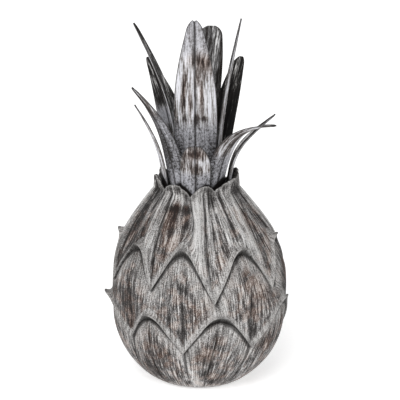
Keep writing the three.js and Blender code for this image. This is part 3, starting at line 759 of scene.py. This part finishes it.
def limewashedResin():
    r = resin
    material, tree = startMaterial("cast resin, dry-brushed with lime wash")
    grain = addNode(tree, "Attribute", attribute_name="grain").outputs["Vector"]
    facts = attributes(tree, "band", "hollow", "ridge", "smoothPad", "stain", "lift")
    place = addNode(tree, "TexCoord").outputs["Object"]

    strokes = brushNoise(tree, grain, r["strokes"], detail=2.0, distortion=0.2)
    wide = brushNoise(tree, grain, r["wideStrokes"], detail=3.0, distortion=0.4)
    blotch = brushNoise(tree, place, [r["blotch"] * mm] * 3, detail=2.0, roughness=0.5)
    grit = brushNoise(tree, place, [r["grit"] * mm] * 3, detail=2.0, roughness=0.7)
    brushed = mix(tree, (strokes, r["strokesShare"]), (wide, r["wideShare"]))
    mixed = mix(tree, (blotch, r["blotchShare"]), (grit, r["gritShare"]), base=brushed)
    tone = mix(tree, (facts["lift"], r["liftShare"]), base=mixed)
    grey = addNode(tree, "ValToRGB", {0: tone}, stops=r["greys"])
    brown = addNode(tree, "ValToRGB", {0: tone}, stops=r["browns"])

    palest, brownest = r["brownBlotches"]
    ownBrown = addNode(tree, "MapRange", {0: blotch, 1: palest, 2: brownest, 3: 0.0, 4: r["brownestBlotch"]})
    patchy = addNode(tree, "Math", {0: wide, 1: r["leastStain"]}, operation="ADD")
    stained = addNode(tree, "Math", {0: facts["stain"], 1: patchy}, operation="MULTIPLY")
    brownShare = addNode(tree, "Math", {0: ownBrown, 1: stained}, operation="ADD", use_clamp=True)
    weathered = overlay(tree, brownShare, grey, brown)

    speckle = mix(tree, (grit, r["chalkGrit"]), (strokes, r["chalkStrokes"]), base=r["chalkBase"])
    speckle = mix(tree, (facts["lift"], r["chalkLift"]), base=speckle)
    chalk = addNode(tree, "ValToRGB", {0: speckle}, stops=r["chalks"])
    bandShare = addNode(tree, "Math", {0: facts["band"], 1: r["bandShare"]}, operation="MULTIPLY")
    padShare = addNode(tree, "Math", {0: facts["smoothPad"], 1: r["padShare"]}, operation="MULTIPLY")
    chalkShare = addNode(tree, "Math", {0: bandShare, 1: padShare}, operation="MAXIMUM")
    banded = overlay(tree, chalkShare, weathered, chalk)
    rubShare = addNode(tree, "Math", {0: facts["ridge"], 1: r["rubShare"]}, operation="MULTIPLY")
    rubbed = overlay(tree, rubShare, banded, paint(r["rubbed"]))
    # dark wash in the creases, and painted shade under the rims and inside the collar
    washAndShadeShare = addNode(
        tree, "Math", {0: facts["hollow"], 1: r["washAndShadeShare"]}, operation="MULTIPLY", use_clamp=True)
    finishMaterial(tree, overlay(tree, washAndShadeShare, rubbed, paint(r["wash"])), mixed, r)
    return material


# Painted sheet iron, the same grey dragged over dark brown: pale outside with a speckled foot,
# darker inside, a dark line in the crease
sheet = {
    # drag marks, and speckle with finer grit in it, by width, depth and length in mm
    "marks": (1.7, 1, 18), "wideMarks": (5.0, 1, 40), "grit": (2.6, 1, 3.2),
    # how much each of them counts in the tone, and how much a step lighter does
    "marksShare": 0.42, "wideShare": 0.42, "gritShare": 0.16, "liftShare": 0.07,
    "greys": [
        (0.42, "#3b3533"), (0.465, "#6c6562"), (0.49, "#9b9897"), (0.52, "#bdbdc0"), (0.57, "#e2e2e8"),
    ],
    "browns": [
        (0.42, "#211917"), (0.47, "#4b3e38"), (0.51, "#7a6b64"), (0.545, "#aca19b"), (0.60, "#ece8e6"),
    ],
    # the speckled foot
    "speckles": [(0.69, "#2a2929"), (0.75, "#67676a"), (0.79, "#8d8d92"), (0.88, "#b9b9c0")],
    "speckleBase": 0.3, "speckleGrit": 0.7, "speckleMarks": 0.3, "speckleLift": 0.04,
    # the darker inner face
    "insideTones": [(0.42, "#0d0c0b"), (0.50, "#242221"), (0.53, "#55524f"), (0.56, "#a9a7a5"), (0.60, "#ebeae8")],
    "edge": "#2b2826", "edgeWidths": (0.4, 1.5), "edgeShare": 0.7,  # darker along the edges, in mm
    "dark": "#1d1918",  # in the crease, and painted shade with dark wash down in the collar
    "roughness": 0.7, "specular": 0.2, "bumpShare": 0.6, "bumpHeight": 1.0,
}


def draggedSheet():
    s = sheet
    material, tree = startMaterial("painted sheet iron, dragged grey")
    grain = addNode(tree, "Attribute", attribute_name="grain").outputs["Vector"]
    facts = attributes(tree, "edge", "inner", "crease", "stain", "lift", "chalk", "crevice")

    marks = brushNoise(tree, grain, s["marks"], detail=3.0)
    wide = brushNoise(tree, grain, s["wideMarks"], detail=3.0)
    grit = brushNoise(tree, grain, s["grit"], detail=4.0, roughness=0.8)
    mixed = mix(tree, (marks, s["marksShare"]), (wide, s["wideShare"]), (grit, s["gritShare"]))
    tone = mix(tree, (facts["lift"], s["liftShare"]), base=mixed)
    grey = addNode(tree, "ValToRGB", {0: tone}, stops=s["greys"])
    brown = addNode(tree, "ValToRGB", {0: tone}, stops=s["browns"])
    weathered = overlay(tree, facts["stain"], grey, brown)

    speckle = mix(tree, (grit, s["speckleGrit"]), (mixed, s["speckleMarks"]), base=s["speckleBase"])
    speckle = mix(tree, (facts["lift"], s["speckleLift"]), base=speckle)
    speckled = addNode(tree, "ValToRGB", {0: speckle}, stops=s["speckles"])
    dressed = overlay(tree, facts["chalk"], weathered, speckled)
    darkInside = addNode(tree, "ValToRGB", {0: tone}, stops=s["insideTones"])
    faced = overlay(tree, facts["inner"], dressed, darkInside)

    worn, whole = s["edgeWidths"]
    edgeShare = addNode(tree, "MapRange", {0: facts["edge"], 1: whole, 2: worn, 3: 0.0, 4: s["edgeShare"]})
    edged = overlay(tree, edgeShare, faced, paint(s["edge"]))
    darkShare = addNode(tree, "Math", {0: facts["crease"], 1: facts["crevice"]}, operation="MAXIMUM")
    finishMaterial(tree, overlay(tree, darkShare, edged, paint(s["dark"])), mixed, s)
    return material


carvedBody.data.materials.append(limewashedResin())
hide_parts("pineapple_body")
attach(carvedBody, "root")
sheetFinish = draggedSheet()
for name, leaf in creasedLeaves.items():
    leaf.data.materials.append(sheetFinish)
    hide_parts(name)
    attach(leaf, "root")
print("finishes done")

# The camera stands in front and a little above: distances in metres, angles in degrees, sensor in mm.
# A broad softbox lights the piece from above, and the table is lit from below, so shadows stay faint.
studio = {
    "target": (0, 0, 0.222), "distance": 1.8, "elevation": 14.5, "shift": (0.002, 0.00845),
    "pixelsPerMm": 0.8088, "photoWidth": 400, "sensorWidth": 36,
    "softboxStrength": 1.5, "softboxWidth": 28, "softboxTowards": (0.28, 1.0, -0.85),
    "tableGlow": 0.5, "surroundings": 0.52,
}

bpy.ops.mesh.primitive_plane_add(size=30, location=(0, 0, -0.0005))
floor = bpy.context.object
floor.name = "studio_floor"
paleFloor = bpy.data.materials.new("translucent acrylic light table")
paleFloor.use_nodes = True
tableShader = paleFloor.node_tree.nodes["Principled BSDF"]
tableShader.inputs["Base Color"].default_value = paint("#f4f4f4")
tableShader.inputs["Roughness"].default_value = 0.9
tableShader.inputs["Emission Color"].default_value = paint("#ffffff")
tableShader.inputs["Emission Strength"].default_value = studio["tableGlow"]
floor.data.materials.append(paleFloor)

world = bpy.data.worlds.new("pale studio")
bpy.context.scene.world = world
world.use_nodes = True
backdrop = world.node_tree.nodes["Background"]
backdrop.inputs["Color"].default_value = paint("#ffffff")
backdrop.inputs["Strength"].default_value = studio["surroundings"]

softboxData = bpy.data.lights.new("broad_overhead_softbox", "SUN")
softboxData.energy = studio["softboxStrength"]
softboxData.angle = math.radians(studio["softboxWidth"])
softbox = bpy.data.objects.new("broad_overhead_softbox", softboxData)
bpy.context.scene.collection.objects.link(softbox)
softbox.rotation_euler = Vector(studio["softboxTowards"]).to_track_quat("-Z", "Y").to_euler()

elevation = math.radians(studio["elevation"])
target = Vector(studio["target"])
cameraData = bpy.data.cameras.new("camera")
cameraData.sensor_width = studio["sensorWidth"]
pixelsAway = studio["pixelsPerMm"] * studio["distance"] / mm
cameraData.lens = studio["sensorWidth"] * pixelsAway / studio["photoWidth"]
cameraData.shift_x, cameraData.shift_y = studio["shift"]
camera = bpy.data.objects.new("camera", cameraData)
bpy.context.scene.collection.objects.link(camera)
camera.location = target + Vector((0, -math.cos(elevation), math.sin(elevation))) * studio["distance"]
camera.rotation_euler = (target - camera.location).to_track_quat("-Z", "Y").to_euler()
bpy.context.scene.camera = camera
bpy.context.scene.view_settings.view_transform = "Standard"
